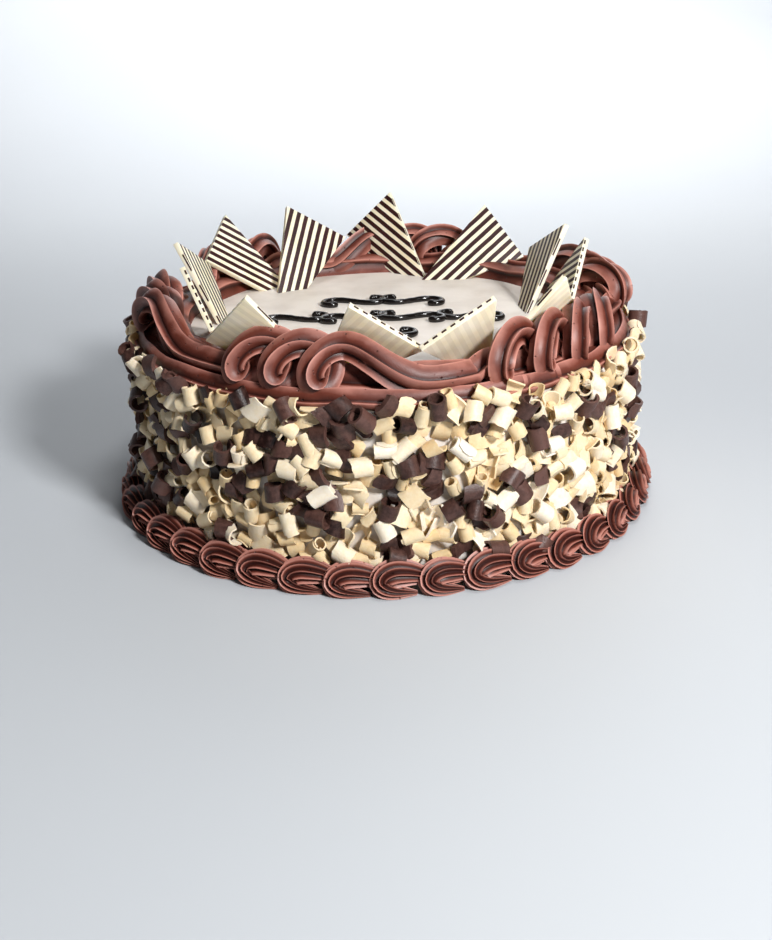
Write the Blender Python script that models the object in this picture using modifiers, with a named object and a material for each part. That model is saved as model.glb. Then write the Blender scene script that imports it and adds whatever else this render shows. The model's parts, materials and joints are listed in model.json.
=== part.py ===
"""Layer cake: a round cream gateau with chocolate curls pressed into its side,
a piped rope of chocolate buttercream round the top edge, a ring of piped
shells round the foot, and twelve striped chocolate triangles in a zigzag crown.

Metres, +Z up. The origin is the middle of the foot, on the surface it stands on,
and -Y is the front."""

import math
import random

import bmesh
import bpy
from mathutils import Matrix, Vector

# Driving dimensions
CAKE_RADIUS = 0.103
CAKE_HEIGHT = 0.073
TOP_EDGE_ROUND = 0.0025
CAKE_SIDES = 72
GAP = 0.0003

# Chocolate curls on the side
CURL_ROWS = 4
CURLS_PER_ROW = 17
CURL_LOWEST = 0.0198
CURL_HIGHEST = 0.0660
CURL_RADIUS = (0.0034, 0.0042)
CURL_LENGTH = (0.0078, 0.0098)
CURL_SWEEP = (170, 230)
CURL_THICKNESS = 0.0012
CURL_SINK = 0.0015
CURL_TIP = 55
CURL_SHIFT = 0.2
CURL_LIFT = 0.0015
CURL_SEED = 11

# Piped shells round the foot
SHELL_COUNT = 40
SHELL_INNER_RADIUS = CAKE_RADIUS + GAP
SHELL_REACH = 0.0148
SHELL_HEIGHT = 0.0128
SHELL_RIDGES = 3
SHELL_STATIONS = (0.0, 0.14, 0.42, 0.74)
SHELL_HEAD_END = 0.16
SHELL_TAIL_START = 0.45
SHELL_SHRINK = 0.20
RIDGE_CREST = 1.05
RIDGE_VALLEY = 0.94
SHELL_SQUARENESS = 0.8

# Piped rope round the top
ROPE_RADIUS = 0.0063
ROPE_LOBES = 6
ROPE_LOBE_DEPTH = 0.32
ROPE_LOW = 0.0032
ROPE_LEAD = 3.5
LOOP_RISE = 0.0068
LOOP_SWAY = 0.0064
LOOP_LEAN = 0.0058
LOOP_STEPS = 18
LOOP_SCALE = 0.88
RIBBON_SCALE = 1.04
RIBBON_DROP_END = 0.6
RIBBON_THIN_END = 0.5
BED_RADIUS = 0.0072
BED_CENTRE_RADIUS = 0.0880
BED_HEIGHT = 0.0015
ROPE_VOXEL = 0.0010
ROPE_TRIANGLES = 4000

# One row for each run of loops: the degrees where it starts and ends, how many
# loops it has, how far from the middle it runs, how many degrees the loops tip
# back, and how far from the middle the plain ribbon after it runs
ROPE_RUNS = (
    (17, 62, 4, 0.0945, 25, 0.092),
    (87, 109, 3, 0.0965, 5, 0.096),
    (150, 178, 3, 0.0955, 0, 0.086),
    (206, 232, 3, 0.0960, 0, 0.089),
    (253, 283, 3, 0.0945, 10, 0.095),
    (321, 348, 3, 0.0945, 45, 0.0995),
)

# Striped chocolate triangles
PLAQUE_BASE = 0.032
PLAQUE_LENGTH = 0.060
PLAQUE_THICKNESS = 0.0024

# One row for each triangle: the degrees that its striped face is turned to, the
# degrees where its tip is stuck in, the tip's distance from the middle, the tip's
# height, how far it leans out and how far it tilts sideways, in degrees
PLAQUES = (
    (-18, -8, 0.072, 0.059, 27, -46),
    (-17, -27, 0.064, 0.059, 33, 42),
    (38, 42, 0.062, 0.061, 37, -41),
    (44, 22, 0.074, 0.060, 27, 49),
    (92, 118, 0.070, 0.056, 26, -43),
    (98, 86.5, 0.055, 0.057, 30, 35),
    (174, 172, 0.064, 0.062, 29, -53),
    (151, 158, 0.072, 0.057, 8, 44),
    (209, 234, 0.063, 0.056, 26, -35),
    (236, 209, 0.072, 0.057, 34, 34),
    (270, 282, 0.060, 0.055, 30, -35),
    (284.5, 269.6, 0.0674, 0.0533, 20.4, 42.5),
)

# Piped scrolls on the top
SCROLL_RADIUS = 0.0013
SCROLL_SINK = 0.0004
SCROLL_STEPS = 9
SCROLL_WINDING = 10.0
SCROLL_SLANT = 0.5
SCROLL_HALF_LENGTH = 0.026

# One row for each line of scrolls: how far back it lies, how many scrolls it has
# and how far apart they are
SCROLL_LINES = (
    (0.026, 2, 0.026),
    (0.000, 4, 0.025),
    (-0.026, 1, 0.026),
)

CREAM = (0.80, 0.76, 0.70)
BUTTERCREAM = (0.10, 0.035, 0.022)
WHITE_CHOCOLATE = (0.80, 0.70, 0.48)


def clear_scene():
    for item in list(bpy.data.objects):
        bpy.data.objects.remove(item, do_unlink=True)


def new_collection(name):
    group = bpy.data.collections.new(name)
    bpy.context.scene.collection.children.link(group)
    return group


def new_material(name, colour, roughness):
    material = bpy.data.materials.new(name)
    material.use_nodes = True
    shader = material.node_tree.nodes["Principled BSDF"]
    shader.inputs["Base Color"].default_value = (*colour, 1.0)
    shader.inputs["Roughness"].default_value = roughness
    shader.inputs["Metallic"].default_value = 0.0
    return material


def new_object(name, data, group):
    item = bpy.data.objects.new(name, data)
    group.objects.link(item)
    return item


def evaluated_mesh(item):
    """The object's mesh after its modifiers, with loose doubles welded."""
    bpy.context.view_layer.update()
    graph = bpy.context.evaluated_depsgraph_get()
    mesh = bpy.data.meshes.new_from_object(item.evaluated_get(graph), depsgraph=graph)
    body = bmesh.new()
    body.from_mesh(mesh)
    bmesh.ops.remove_doubles(body, verts=body.verts, dist=1e-6)
    body.to_mesh(mesh)
    body.free()
    return mesh


def replace_with_mesh(item, mesh):
    """Swap an object for one of the same name and place that holds the given mesh."""
    name, place, groups = item.name, item.matrix_world.copy(), list(item.users_collection)
    bpy.data.objects.remove(item, do_unlink=True)
    fresh = bpy.data.objects.new(name, mesh)
    fresh.matrix_world = place
    for group in groups:
        group.objects.link(fresh)
    return fresh


def apply_boolean(item, operation, group):
    """Join or cut an object with everything in a collection, and apply it."""
    step = item.modifiers.new("join", "BOOLEAN")
    step.operation = operation
    step.operand_type = "COLLECTION"
    step.collection = group
    mesh = evaluated_mesh(item)
    item.modifiers.clear()
    item.data = mesh
    return item


def empty_collection(group):
    for item in list(group.objects):
        bpy.data.objects.remove(item, do_unlink=True)
    bpy.data.collections.remove(group)


def keep_largest_body(mesh):
    """Drop the loose scraps that a cut leaves beside the main body."""
    body = bmesh.new()
    body.from_mesh(mesh)
    body.verts.ensure_lookup_table()
    seen, bodies = set(), []
    for start in body.verts:
        if start.index in seen:
            continue
        found, waiting = [start], [start]
        seen.add(start.index)
        while waiting:
            vert = waiting.pop()
            for edge in vert.link_edges:
                other = edge.other_vert(vert)
                if other.index not in seen:
                    seen.add(other.index)
                    found.append(other)
                    waiting.append(other)
        bodies.append(found)
    bodies.sort(key=len, reverse=True)
    for scrap in bodies[1:]:
        bmesh.ops.delete(body, geom=scrap, context="VERTS")
    body.to_mesh(mesh)
    body.free()


def outward(degrees):
    """Unit vector from the middle at an azimuth: 0 is the front, 90 is +X."""
    angle = math.radians(degrees)
    return Vector((math.sin(angle), -math.cos(angle), 0.0))


def along(degrees):
    """Unit vector along the ring at an azimuth, the way the azimuth grows."""
    angle = math.radians(degrees)
    return Vector((math.cos(angle), math.sin(angle), 0.0))


def smooth(value):
    value = min(1.0, max(0.0, value))
    return value * value * (3.0 - 2.0 * value)


# Cake body

def make_cake(group):
    """The cream-coated cake: a turned profile, run top to bottom on its outer side."""
    profile = [(0.0, CAKE_HEIGHT)]
    for step in range(4):
        angle = math.radians(90 - 30 * step)
        profile.append((
            CAKE_RADIUS - TOP_EDGE_ROUND * (1.0 - math.cos(angle)),
            CAKE_HEIGHT - TOP_EDGE_ROUND * (1.0 - math.sin(angle)),
        ))
    profile += [(CAKE_RADIUS, 0.0), (0.0, 0.0)]
    mesh = bpy.data.meshes.new("cake")
    links = [(index, index + 1) for index in range(len(profile) - 1)]
    mesh.from_pydata([(x, 0.0, z) for x, z in profile], links, [])
    cake = new_object("cake", mesh, group)
    turn = cake.modifiers.new("turn", "SCREW")
    turn.angle = math.tau
    turn.steps = turn.render_steps = CAKE_SIDES
    turn.use_merge_vertices = True
    turn.merge_threshold = 0.00001
    return replace_with_mesh(cake, evaluated_mesh(cake))


def curl_mesh(radius, length, sweep):
    """A shaving rolled round the X axis, hollow side up, as a bent strip with a wall."""
    body = bmesh.new()
    bmesh.ops.create_grid(body, x_segments=1, y_segments=3, size=0.5)
    for vert in body.verts:
        angle = math.radians(sweep) * vert.co.y
        vert.co = Vector((
            length * vert.co.x,
            radius * math.sin(angle),
            -radius * math.cos(angle),
        ))
    bmesh.ops.recalc_face_normals(body, faces=body.faces)
    mesh = bpy.data.meshes.new("curl")
    body.to_mesh(mesh)
    body.free()
    return mesh


def add_curls():
    """Press curls into the side in staggered rows, each turned its own way."""
    draw = random.Random(CURL_SEED)
    curls = new_collection("curls")
    for row in range(CURL_ROWS):
        for column in range(CURLS_PER_ROW):
            stagger = 0.5 * (row % 2)
            shift = stagger + draw.uniform(-CURL_SHIFT, CURL_SHIFT)
            turn = 360.0 * (column + shift) / CURLS_PER_ROW
            rise = (CURL_HIGHEST - CURL_LOWEST) / (CURL_ROWS - 1)
            height = CURL_LOWEST + rise * row + draw.uniform(-CURL_LIFT, CURL_LIFT)
            height = min(CURL_HIGHEST, max(CURL_LOWEST, height))
            radius = draw.uniform(*CURL_RADIUS)
            length = draw.uniform(*CURL_LENGTH)
            sweep = draw.uniform(*CURL_SWEEP)
            twist = draw.uniform(0, 180)
            tip = draw.uniform(-CURL_TIP, CURL_TIP)
            curl = new_object("curl", curl_mesh(radius, length, sweep), curls)
            wall = curl.modifiers.new("wall", "SOLIDIFY")
            wall.thickness = CURL_THICKNESS
            wall.offset = 1.0
            out = outward(turn)
            side = along(turn)
            stand = Matrix((side, Vector((0, 0, 1)), out)).transposed()
            spin = Matrix.Rotation(math.radians(twist), 3, "Z")
            roll = Matrix.Rotation(math.radians(tip), 3, "X")
            middle = out * (CAKE_RADIUS + radius - CURL_SINK) + Vector((0, 0, height))
            place = (stand @ spin @ roll).to_4x4()
            curl.matrix_world = Matrix.Translation(middle) @ place
    return curls


def scroll_points(middle_x, middle_y, turn):
    """An S-shaped scroll: a line whose curve tightens evenly towards both ends."""
    step = SCROLL_HALF_LENGTH / SCROLL_STEPS
    half = [(0.0, 0.0)]
    for index in range(SCROLL_STEPS):
        travelled = (index + 0.5) / SCROLL_STEPS
        heading = 0.5 * SCROLL_WINDING * travelled ** 2 - SCROLL_SLANT
        x, y = half[-1]
        half.append((x + step * math.cos(heading), y + step * math.sin(heading)))
    points = [(-x, -y) for x, y in reversed(half[1:])] + half
    return [(middle_x + x, middle_y + turn * y) for x, y in points]


def add_scrolls():
    """Lay the piped scrolls on the top, sunk a little so that they join it."""
    scrolls = new_collection("scrolls")
    for middle_y, count, spacing in SCROLL_LINES:
        for index in range(count):
            middle_x = spacing * (index - 0.5 * (count - 1))
            turn = 1 if index < count / 2 else -1
            points = scroll_points(middle_x, middle_y, turn)
            line = bpy.data.curves.new("scroll", "CURVE")
            line.dimensions = "3D"
            spline = line.splines.new("POLY")
            spline.points.add(len(points) - 1)
            for point, (x, y) in zip(spline.points, points):
                point.co = (x, y, CAKE_HEIGHT + SCROLL_RADIUS - SCROLL_SINK, 1.0)
            line.bevel_depth = SCROLL_RADIUS
            line.bevel_resolution = 0
            line.use_fill_caps = True
            scroll = new_object("scroll", line, scrolls)
            replace_with_mesh(scroll, evaluated_mesh(scroll))
    return scrolls


# Piped shells round the foot

def shell_section(step):
    """Points of the border's outline at a place along one shell, from 0 to 1."""
    head = 1.0 - SHELL_SHRINK * (1.0 - smooth(step / SHELL_HEAD_END))
    tail_part = (step - SHELL_TAIL_START) / (1.0 - SHELL_TAIL_START)
    swell = head * (1.0 - SHELL_SHRINK * smooth(tail_part))
    points = [(SHELL_INNER_RADIUS, 0.0)]
    count = 2 * SHELL_RIDGES
    for index in range(count + 1):
        inside = 0 < index < count
        slide = (step - 0.5) if inside else 0.0
        angle = math.radians(90.0 * (1.0 - (index + slide) / count))
        ridge = (RIDGE_CREST if index % 2 else RIDGE_VALLEY) if inside else 1.0
        reach = SHELL_REACH * swell * ridge * math.cos(angle) ** SHELL_SQUARENESS
        rise = SHELL_HEIGHT * swell * ridge * math.sin(angle) ** SHELL_SQUARENESS
        points.append((SHELL_INNER_RADIUS + reach, rise))
    return points


def make_shells(group):
    """One closed ring: the shell outline carried round, with a step at each head."""
    rings = []
    for shell in range(SHELL_COUNT):
        for step in SHELL_STATIONS:
            turn = 360.0 * (shell + step) / SHELL_COUNT
            rings.append((turn, shell_section(step)))
    body = bmesh.new()
    loops = []
    for turn, section in rings:
        out = outward(turn)
        loops.append([body.verts.new(out * radius + Vector((0, 0, z))) for radius, z in section])
    for index, loop in enumerate(loops):
        following = loops[(index + 1) % len(loops)]
        for corner in range(len(loop)):
            other = (corner + 1) % len(loop)
            body.faces.new((loop[corner], loop[other], following[other], following[corner]))
    bmesh.ops.recalc_face_normals(body, faces=body.faces)
    bmesh.ops.triangulate(body, faces=body.faces)
    mesh = bpy.data.meshes.new("bottom_border")
    body.to_mesh(mesh)
    body.free()
    return new_object("bottom_border", mesh, group)


# Piped rope round the top

def rope_run(start, end, loops, centre, tip, ribbon_radius, following):
    """Points (place, scale) along one run of loops and the plain ribbon after it."""
    points = []
    low = CAKE_HEIGHT + ROPE_LOW
    pitch = (end - start) / loops
    tip = math.radians(tip)
    for index in range(loops * LOOP_STEPS + 1):
        phase = math.tau * index / LOOP_STEPS
        grow = smooth(phase / math.pi)
        radius = centre - LOOP_LEAN * math.sin(phase + tip) * grow
        turn = start + ROPE_LEAD + pitch * phase / math.tau
        turn += math.degrees(LOOP_SWAY * math.sin(phase) * grow / radius)
        height = low + LOOP_RISE * grow * (1.0 + math.cos(phase))
        scale = RIBBON_SCALE + (LOOP_SCALE - RIBBON_SCALE) * grow
        points.append((turn, radius, height, scale))
    turn_from, radius_from, height_from, _ = points[-1]
    next_start, next_centre = following
    turn_to = next_start + ROPE_LEAD
    for index in range(1, LOOP_STEPS + 1):
        part = index / LOOP_STEPS
        turn = turn_from + (turn_to - turn_from) * part
        bow = math.sin(math.pi * part)
        radius = radius_from + (next_centre - radius_from) * smooth(part)
        radius += (ribbon_radius - next_centre) * bow
        height = height_from + (low - height_from) * smooth(part / RIBBON_DROP_END)
        scale = LOOP_SCALE + (RIBBON_SCALE - LOOP_SCALE) * smooth(part / RIBBON_THIN_END)
        points.append((turn, radius, height, scale))
    return points


def star_outline():
    """The nozzle's outline: round lobes with sharp valleys between them."""
    outline = bpy.data.curves.new("nozzle", "CURVE")
    spline = outline.splines.new("POLY")
    count = ROPE_LOBES * 4
    spline.points.add(count - 1)
    for index, point in enumerate(spline.points):
        angle = math.tau * index / count
        lobe = abs(math.cos(0.5 * ROPE_LOBES * angle))
        radius = ROPE_RADIUS * (1.0 - ROPE_LOBE_DEPTH + ROPE_LOBE_DEPTH * lobe)
        point.co = (radius * math.cos(angle), radius * math.sin(angle), 0.0, 1.0)
    spline.use_cyclic_u = True
    return outline


def make_bed(group):
    """The bead of buttercream that the loops are piped on, as a closed round tube."""
    line = bpy.data.curves.new("bed", "CURVE")
    line.dimensions = "3D"
    spline = line.splines.new("POLY")
    spline.points.add(CAKE_SIDES - 1)
    for index, point in enumerate(spline.points):
        place = outward(360.0 * index / CAKE_SIDES) * BED_CENTRE_RADIUS
        point.co = (place.x, place.y, CAKE_HEIGHT + BED_HEIGHT, 1.0)
    spline.use_cyclic_u = True
    line.bevel_depth = BED_RADIUS
    bed = new_object("bed", line, group)
    mesh = evaluated_mesh(bed)
    bpy.data.objects.remove(bed, do_unlink=True)
    return mesh


def make_rope(group, cutters):
    """Pipe the runs as ribbed tubes, melt them into one body and thin its mesh."""
    nozzle = new_object("nozzle", star_outline(), cutters)
    nozzle.hide_render = True
    nozzle.display_type = "WIRE"
    body = bmesh.new()
    body.from_mesh(make_bed(group))
    for index, row in enumerate(ROPE_RUNS):
        next_row = ROPE_RUNS[(index + 1) % len(ROPE_RUNS)]
        next_start = next_row[0] + (360 if next_row[0] < row[0] else 0)
        points = rope_run(*row, (next_start, next_row[3]))
        line = bpy.data.curves.new("rope", "CURVE")
        line.dimensions = "3D"
        line.bevel_mode = "OBJECT"
        line.bevel_object = nozzle
        line.use_fill_caps = True
        spline = line.splines.new("POLY")
        spline.points.add(len(points) - 1)
        for point, (turn, radius, height, scale) in zip(spline.points, points):
            place = outward(turn) * radius
            point.co = (place.x, place.y, height, 1.0)
            point.radius = scale
        strand = new_object("rope", line, group)
        mesh = evaluated_mesh(strand)
        body.from_mesh(mesh)
        bpy.data.objects.remove(strand, do_unlink=True)
    bmesh.ops.recalc_face_normals(body, faces=body.faces)
    mesh = bpy.data.meshes.new("top_border")
    body.to_mesh(mesh)
    body.free()
    rope = new_object("top_border", mesh, group)
    melt = rope.modifiers.new("melt", "REMESH")
    melt.mode = "VOXEL"
    melt.voxel_size = ROPE_VOXEL
    rope.data = evaluated_mesh(rope)
    rope.modifiers.clear()
    keep_largest_body(rope.data)
    cut_level(rope, CAKE_HEIGHT - GAP)
    rope.data.calc_loop_triangles()
    thin = rope.modifiers.new("thin", "DECIMATE")
    thin.ratio = ROPE_TRIANGLES / len(rope.data.loop_triangles)
    rope.data = evaluated_mesh(rope)
    rope.modifiers.clear()
    cut_level(rope, CAKE_HEIGHT + GAP)
    return rope


def cut_level(item, level):
    """Cut a piece off level, where it rests on the cake's top."""
    below = new_collection("below")
    body = bmesh.new()
    bmesh.ops.create_cube(body, size=1.0)
    bmesh.ops.scale(body, verts=body.verts, vec=(3 * CAKE_RADIUS, 3 * CAKE_RADIUS, CAKE_HEIGHT))
    bmesh.ops.translate(body, verts=body.verts, vec=(0.0, 0.0, level - CAKE_HEIGHT / 2))
    mesh = bpy.data.meshes.new("slab")
    body.to_mesh(mesh)
    body.free()
    new_object("slab", mesh, below)
    apply_boolean(item, "DIFFERENCE", below)
    empty_collection(below)


# Striped triangles

def plaque_place(facing, tip_turn, tip_radius, tip_height, lean, tilt):
    """Where a triangle stands: its tip is its origin and +Z is its striped face."""
    out = outward(facing)
    side = along(facing)
    lean, tilt = math.radians(lean), math.radians(tilt)
    upward = math.cos(lean) * Vector((0, 0, 1)) + math.sin(lean) * out
    axis = math.cos(tilt) * upward + math.sin(tilt) * side
    base = -math.sin(tilt) * upward + math.cos(tilt) * side
    normal = -math.cos(lean) * out + math.sin(lean) * Vector((0, 0, 1))
    tip = outward(tip_turn) * tip_radius + Vector((0, 0, tip_height))
    turn = Matrix((-base, axis, normal)).transposed().to_4x4()
    return Matrix.Translation(tip) @ turn


def triangle_mesh(margin):
    """A flat triangle with its tip at the origin, grown all round by a margin."""
    half_angle = math.atan2(PLAQUE_BASE / 2, PLAQUE_LENGTH)
    tip_y = -margin / math.sin(half_angle)
    base_y = PLAQUE_LENGTH + margin
    half = (base_y - tip_y) * math.tan(half_angle)
    flat = bpy.data.curves.new("triangle", "CURVE")
    flat.dimensions = "2D"
    flat.fill_mode = "BOTH"
    flat.extrude = PLAQUE_THICKNESS / 2 + margin
    spline = flat.splines.new("POLY")
    spline.points.add(2)
    for point, (x, y) in zip(spline.points, ((0.0, tip_y), (half, base_y), (-half, base_y))):
        point.co = (x, y, 0.0, 1.0)
    spline.use_cyclic_u = True
    carrier = new_object("triangle", flat, bpy.context.scene.collection)
    mesh = evaluated_mesh(carrier)
    bpy.data.objects.remove(carrier, do_unlink=True)
    return mesh


def make_plaques(group, cutters, material):
    plate = triangle_mesh(0.0)
    plate.materials.append(material)
    slot = triangle_mesh(GAP)
    for index, row in enumerate(PLAQUES):
        place = plaque_place(*row)
        plaque = new_object("plaque_%02d" % (index + 1), plate, group)
        plaque.matrix_world = place
        cutter = new_object("slot_%02d" % (index + 1), slot, cutters)
        cutter.matrix_world = place
        cutter.hide_render = True
        cutter.display_type = "WIRE"


def main():
    clear_scene()
    group = new_collection("layer_cake")
    guides = new_collection("guides")
    slots = new_collection("slots")
    cream = new_material("whipped_cream", CREAM, 0.5)
    buttercream = new_material("chocolate_buttercream", BUTTERCREAM, 0.45)
    white_chocolate = new_material("white_chocolate", WHITE_CHOCOLATE, 0.35)

    cake = make_cake(group)
    for toppings in (add_curls(), add_scrolls()):
        apply_boolean(cake, "UNION", toppings)
        empty_collection(toppings)
    shells = make_shells(group)
    rope = make_rope(group, guides)
    make_plaques(group, slots, white_chocolate)
    for item, material in ((cake, cream), (rope, buttercream), (shells, buttercream)):
        item.data.materials.clear()
        item.data.materials.append(material)
    for item in (cake, rope):
        apply_boolean(item, "DIFFERENCE", slots)
        keep_largest_body(item.data)
    for item in (cake, shells, rope):
        item.data.shade_smooth()
        item.data.set_sharp_from_angle(angle=math.radians(40))
    bpy.context.view_layer.update()


main()
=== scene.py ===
# Layer cake: cream gateau with chocolate curls, a piped rope and shells of chocolate
# buttercream, and a crown of striped chocolate triangles. Metres, +Z up, -Y is the front.

import json
import math

import bmesh
import bpy
import numpy as np
from mathutils import Matrix, Vector, noise

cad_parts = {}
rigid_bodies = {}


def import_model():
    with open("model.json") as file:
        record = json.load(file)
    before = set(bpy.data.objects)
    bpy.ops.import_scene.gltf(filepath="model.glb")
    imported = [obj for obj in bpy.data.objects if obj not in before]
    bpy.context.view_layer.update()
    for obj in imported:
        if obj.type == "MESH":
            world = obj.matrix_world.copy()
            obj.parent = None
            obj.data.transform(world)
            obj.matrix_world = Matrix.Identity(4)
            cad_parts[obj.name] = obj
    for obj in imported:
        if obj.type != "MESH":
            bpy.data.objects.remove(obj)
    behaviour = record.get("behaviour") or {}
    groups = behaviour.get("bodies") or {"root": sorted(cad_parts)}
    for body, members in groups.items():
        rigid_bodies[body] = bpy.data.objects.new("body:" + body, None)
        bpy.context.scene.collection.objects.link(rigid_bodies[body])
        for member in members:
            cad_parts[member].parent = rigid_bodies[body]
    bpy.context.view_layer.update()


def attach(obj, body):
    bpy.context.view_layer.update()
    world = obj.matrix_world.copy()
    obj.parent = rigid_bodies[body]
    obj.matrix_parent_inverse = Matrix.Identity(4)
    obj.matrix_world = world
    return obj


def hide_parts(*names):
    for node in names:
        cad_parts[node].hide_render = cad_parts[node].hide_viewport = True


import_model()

scene = bpy.context.scene
mm = 0.001


# small helpers

def hexColour(text):
    # sRGB hex to the linear colour that Blender wants
    values = [int(text[i:i + 2], 16) / 255 for i in (1, 3, 5)]
    return tuple(v / 12.92 if v <= 0.04045 else ((v + 0.055) / 1.055) ** 2.4 for v in values) + (1.0,)


def addNode(tree, kind, values=None, links=None, **settings):
    # a node with its settings, its socket values and what feeds its sockets
    node = tree.nodes.new(kind)
    for key, value in settings.items():
        setattr(node, key, value)
    for key, value in (values or {}).items():
        node.inputs[key].default_value = value
    for key, socket in (links or {}).items():
        tree.links.new(socket, node.inputs[key])
    return node


def addRamp(tree, fac, *stops):
    ramp = addNode(tree, "ShaderNodeValToRGB", links={"Fac": fac})
    while len(ramp.color_ramp.elements) < len(stops):
        ramp.color_ramp.elements.new(0.5)
    for element, (place, colour) in zip(ramp.color_ramp.elements, stops):
        element.position = place
        element.color = hexColour(colour)
    return ramp.outputs["Color"]


def feed(tree, socket, value):
    # a socket is given a value, or another socket feeds it
    if isinstance(value, bpy.types.NodeSocket):
        tree.links.new(value, socket)
    else:
        socket.default_value = value


def addMath(tree, operation, *values):
    node = addNode(tree, "ShaderNodeMath", operation=operation)
    for socket, value in zip(node.inputs, values):
        feed(tree, socket, value)
    return node.outputs["Value"]


def addNoise(tree, place, size, detail, roughness=0.5):
    # noise whose spots are about as wide as the size
    values = {"Scale": 1 / size, "Detail": detail, "Roughness": roughness}
    return addNode(tree, "ShaderNodeTexNoise", values, {"Vector": place}).outputs["Fac"]


def addRange(tree, value, fromMin, fromMax, toMin=0.0, toMax=1.0):
    values = {"From Min": fromMin, "From Max": fromMax, "To Min": toMin, "To Max": toMax}
    return addNode(tree, "ShaderNodeMapRange", values, {"Value": value}).outputs["Result"]


def addBump(tree, height, distance, strength, normal=None):
    values = {"Distance": distance, "Strength": strength}
    links = {"Height": height} | ({"Normal": normal} if normal else {})
    return addNode(tree, "ShaderNodeBump", values, links).outputs["Normal"]


def objectPlace(tree):
    return addNode(tree, "ShaderNodeTexCoord").outputs["Object"]


def ownValue(tree, name, output="Fac"):
    return addNode(tree, "ShaderNodeAttribute", attribute_name=name).outputs[output]


def newMaterial(name, **values):
    material = bpy.data.materials.new(name)
    material.use_nodes = True
    shader = material.node_tree.nodes["Principled BSDF"]
    for key, value in values.items():
        shader.inputs[key.replace("_", " ")].default_value = value
    return material, material.node_tree


def finishMaterial(tree, colour, normal=None):
    shader = tree.nodes["Principled BSDF"]
    tree.links.new(colour, shader.inputs["Base Color"])
    if normal:
        tree.links.new(normal, shader.inputs["Normal"])


def outward(degrees):
    # unit vector from the middle: 0 is the front, 90 is +X
    angle = math.radians(degrees)
    return Vector((math.sin(angle), -math.cos(angle), 0.0))


def along(degrees):
    angle = math.radians(degrees)
    return Vector((math.cos(angle), math.sin(angle), 0.0))


def smooth(value):
    value = min(1.0, max(0.0, value))
    return value * value * (3.0 - 2.0 * value)


def newObject(name, mesh, material=None, collection=None):
    item = bpy.data.objects.new(name, mesh)
    (collection or scene.collection).objects.link(item)
    if material:
        mesh.materials.append(material)
    return item


def meshFrom(name, verts, faces, sharp=None):
    mesh = bpy.data.meshes.new(name)
    mesh.from_pydata([tuple(v) for v in verts], [], faces)
    mesh.shade_smooth()
    if sharp:
        mesh.set_sharp_from_angle(angle=math.radians(sharp))
    return mesh


def finishPiece(item, node=None):
    # every piece rides on the one body, and stands for its solid where it has one
    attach(item, "root")
    if node:
        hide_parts(*([node] if isinstance(node, str) else node))
    mesh = item.data
    mesh.calc_loop_triangles()
    print("made", item.name, len(mesh.loop_triangles), "triangles")
    return item


def tubeValleys(ridge, lobes, rings):
    # 0 on a ridge and 1 in a valley, for each vertex of a tube; its two end points come last
    return [drop for _ in range(lobes) for _, drop in ridge] * rings + [0.5, 0.5]


def addTube(verts, faces, tube):
    # one more tube in the same mesh
    tubeVerts, tubeFaces = tube
    offset = len(verts)
    verts += tubeVerts
    faces += [tuple(corner + offset for corner in face) for face in tubeFaces]


def markValleys(mesh, values):
    mesh.attributes.new("valley", "FLOAT", "POINT").data.foreach_set("value", values)


def sweepTube(points, ups, scales, section, ripple=None):
    # a closed tube: the section is carried along the points, its first axis turned to ups
    points = np.array(points, float)
    ups = np.array(ups, float)
    section = np.array(section, float)
    count, around = len(points), len(section)
    tangents = np.gradient(points, axis=0)
    tangents /= np.linalg.norm(tangents, axis=1)[:, None]
    first = ups - (ups * tangents).sum(1)[:, None] * tangents
    first /= np.linalg.norm(first, axis=1)[:, None]
    second = np.cross(tangents, first)
    rings = np.empty((count, around, 3))
    for index in range(count):
        shape = section * scales[index]
        if ripple is not None:
            shape = shape * ripple[index][:, None]
        rings[index] = points[index] + shape[:, :1] * first[index] + shape[:, 1:] * second[index]
    verts = list(rings.reshape(-1, 3)) + [rings[0].mean(0), rings[-1].mean(0)]
    faces = []
    for index in range(count - 1):
        low, high = index * around, (index + 1) * around
        for corner in range(around):
            other = (corner + 1) % around
            faces.append((low + corner, low + other, high + other, high + corner))
    head, tail = count * around, count * around + 1
    last = (count - 1) * around
    for corner in range(around):
        other = (corner + 1) % around
        faces.append((head, other, corner))
        faces.append((tail, last + corner, last + other))
    return verts, faces


# camera, where the photograph was taken from

photoCamera = {
    "place": (0.00434, -0.51958, 0.22177),
    "down": 22.874,
    "left": 0.474,
    "roll": -1.220,
    "lens": 47.872,
}


def makeCamera(values):
    down, left = math.radians(values["down"]), math.radians(values["left"])
    look = Vector((-math.sin(left) * math.cos(down), math.cos(left) * math.cos(down), -math.sin(down)))
    level = look.cross(Vector((0, 0, 1))).normalized()
    rise = level.cross(look)
    roll = math.radians(values["roll"])
    right = math.cos(roll) * level + math.sin(roll) * rise
    camera = bpy.data.objects.new("camera", bpy.data.cameras.new("camera"))
    camera.data.lens = values["lens"]
    camera.data.sensor_width = 36
    camera.data.clip_start = 0.01
    camera.data.clip_end = 20
    turn = Matrix((right, right.cross(look), -look)).transposed().to_4x4()
    camera.matrix_world = Matrix.Translation(values["place"]) @ turn
    scene.collection.objects.link(camera)
    scene.camera = camera


makeCamera(photoCamera)
print("camera set")


# whipped cream: matt, very white, lets a little light in; spread with a palette knife

creamLooks = {
    "colour": "#e3dad0",
    "shade": "#d6ccc1",
    "patch": 16 * mm,        # size of the slow colour change
    "stroke": 5 * mm,        # width of the palette knife's marks
    "strokeStretch": (0.35, 1.0, 1.0),
    "strokeTurn": 0.6,
    "bump": 0.25 * mm,
}


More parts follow.
